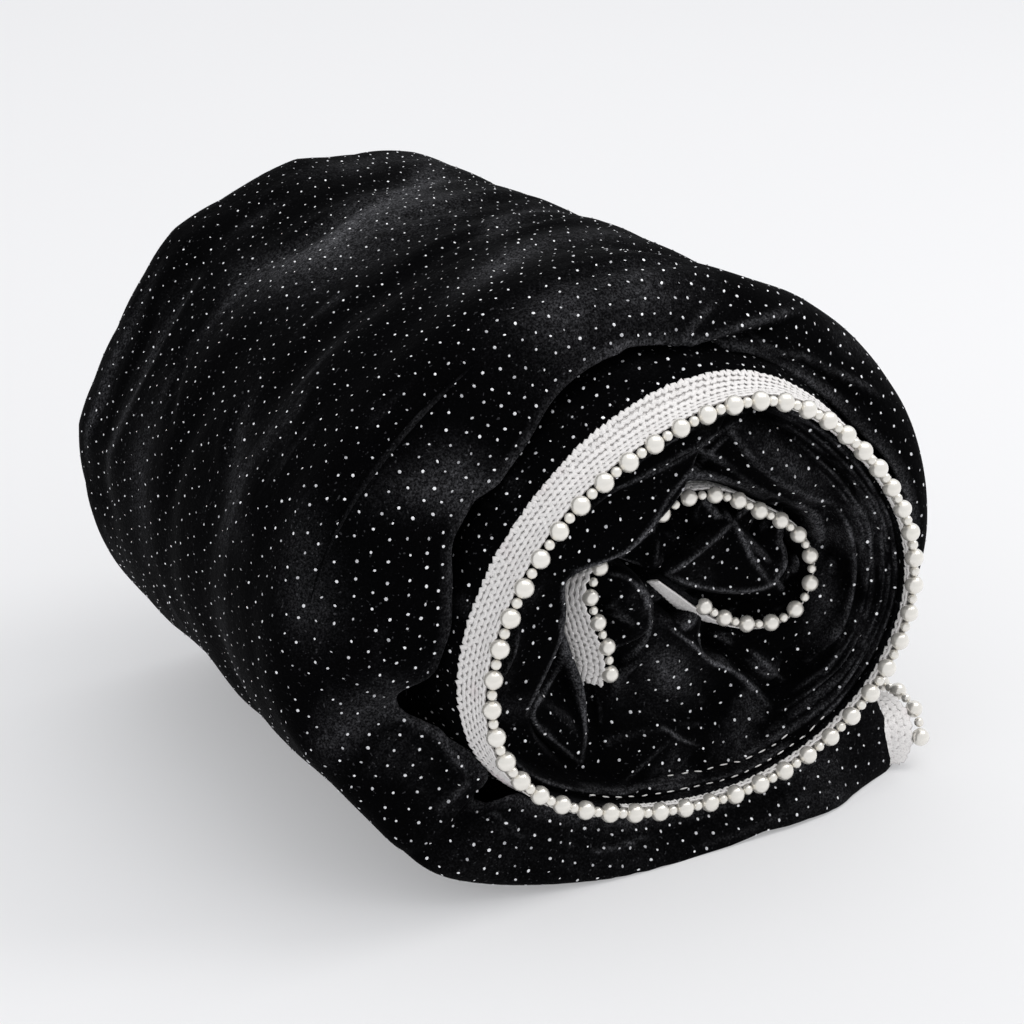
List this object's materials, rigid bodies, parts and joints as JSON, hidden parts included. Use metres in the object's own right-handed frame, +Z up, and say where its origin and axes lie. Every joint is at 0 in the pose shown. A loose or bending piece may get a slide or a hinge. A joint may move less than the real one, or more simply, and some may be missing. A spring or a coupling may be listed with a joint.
{
  "type": "rolled velvet dupatta",
  "caption": "Black velvet dupatta with silver glitter dots and a white braid and pearl border, loosely rolled and lying on its side.",
  "frame": {"origin": "centre of the footprint's bounding box, on the surface the roll lies on", "axes": "+Z up from the surface, the roll's axis along Y with its open spiral end towards -Y"},
  "size_m": [0.2248, 0.2119, 0.1839],
  "materials": {
    "velvet_black": "matte pile velvet",
    "braid_white": "woven braid",
    "pearl_cream": "pearl gloss"
  },
  "bodies": {
    "root": {"outer_wrap": "velvet_black", "roll_core": "velvet_black", "bordered_turn": "velvet_black", "ring_tape": "braid_white", "ring_pearls": "pearl_cream", "ply_left": "velvet_black", "ply_right": "velvet_black", "fold_left": "velvet_black", "fold_upper_right": "velvet_black", "fold_bottom": "velvet_black", "fold_lower_left": "velvet_black", "fold_tent": "velvet_black", "fold_tongue": "velvet_black", "fold_rolled": "velvet_black", "loop_turn": "velvet_black", "loop_tape": "braid_white", "loop_pearls": "pearl_cream", "short_turn": "velvet_black", "short_tape": "braid_white", "short_pearls": "pearl_cream", "end_pad": "velvet_black", "hem_tape": "braid_white", "hem_pearls": "pearl_cream"}
  },
  "joints": []
}
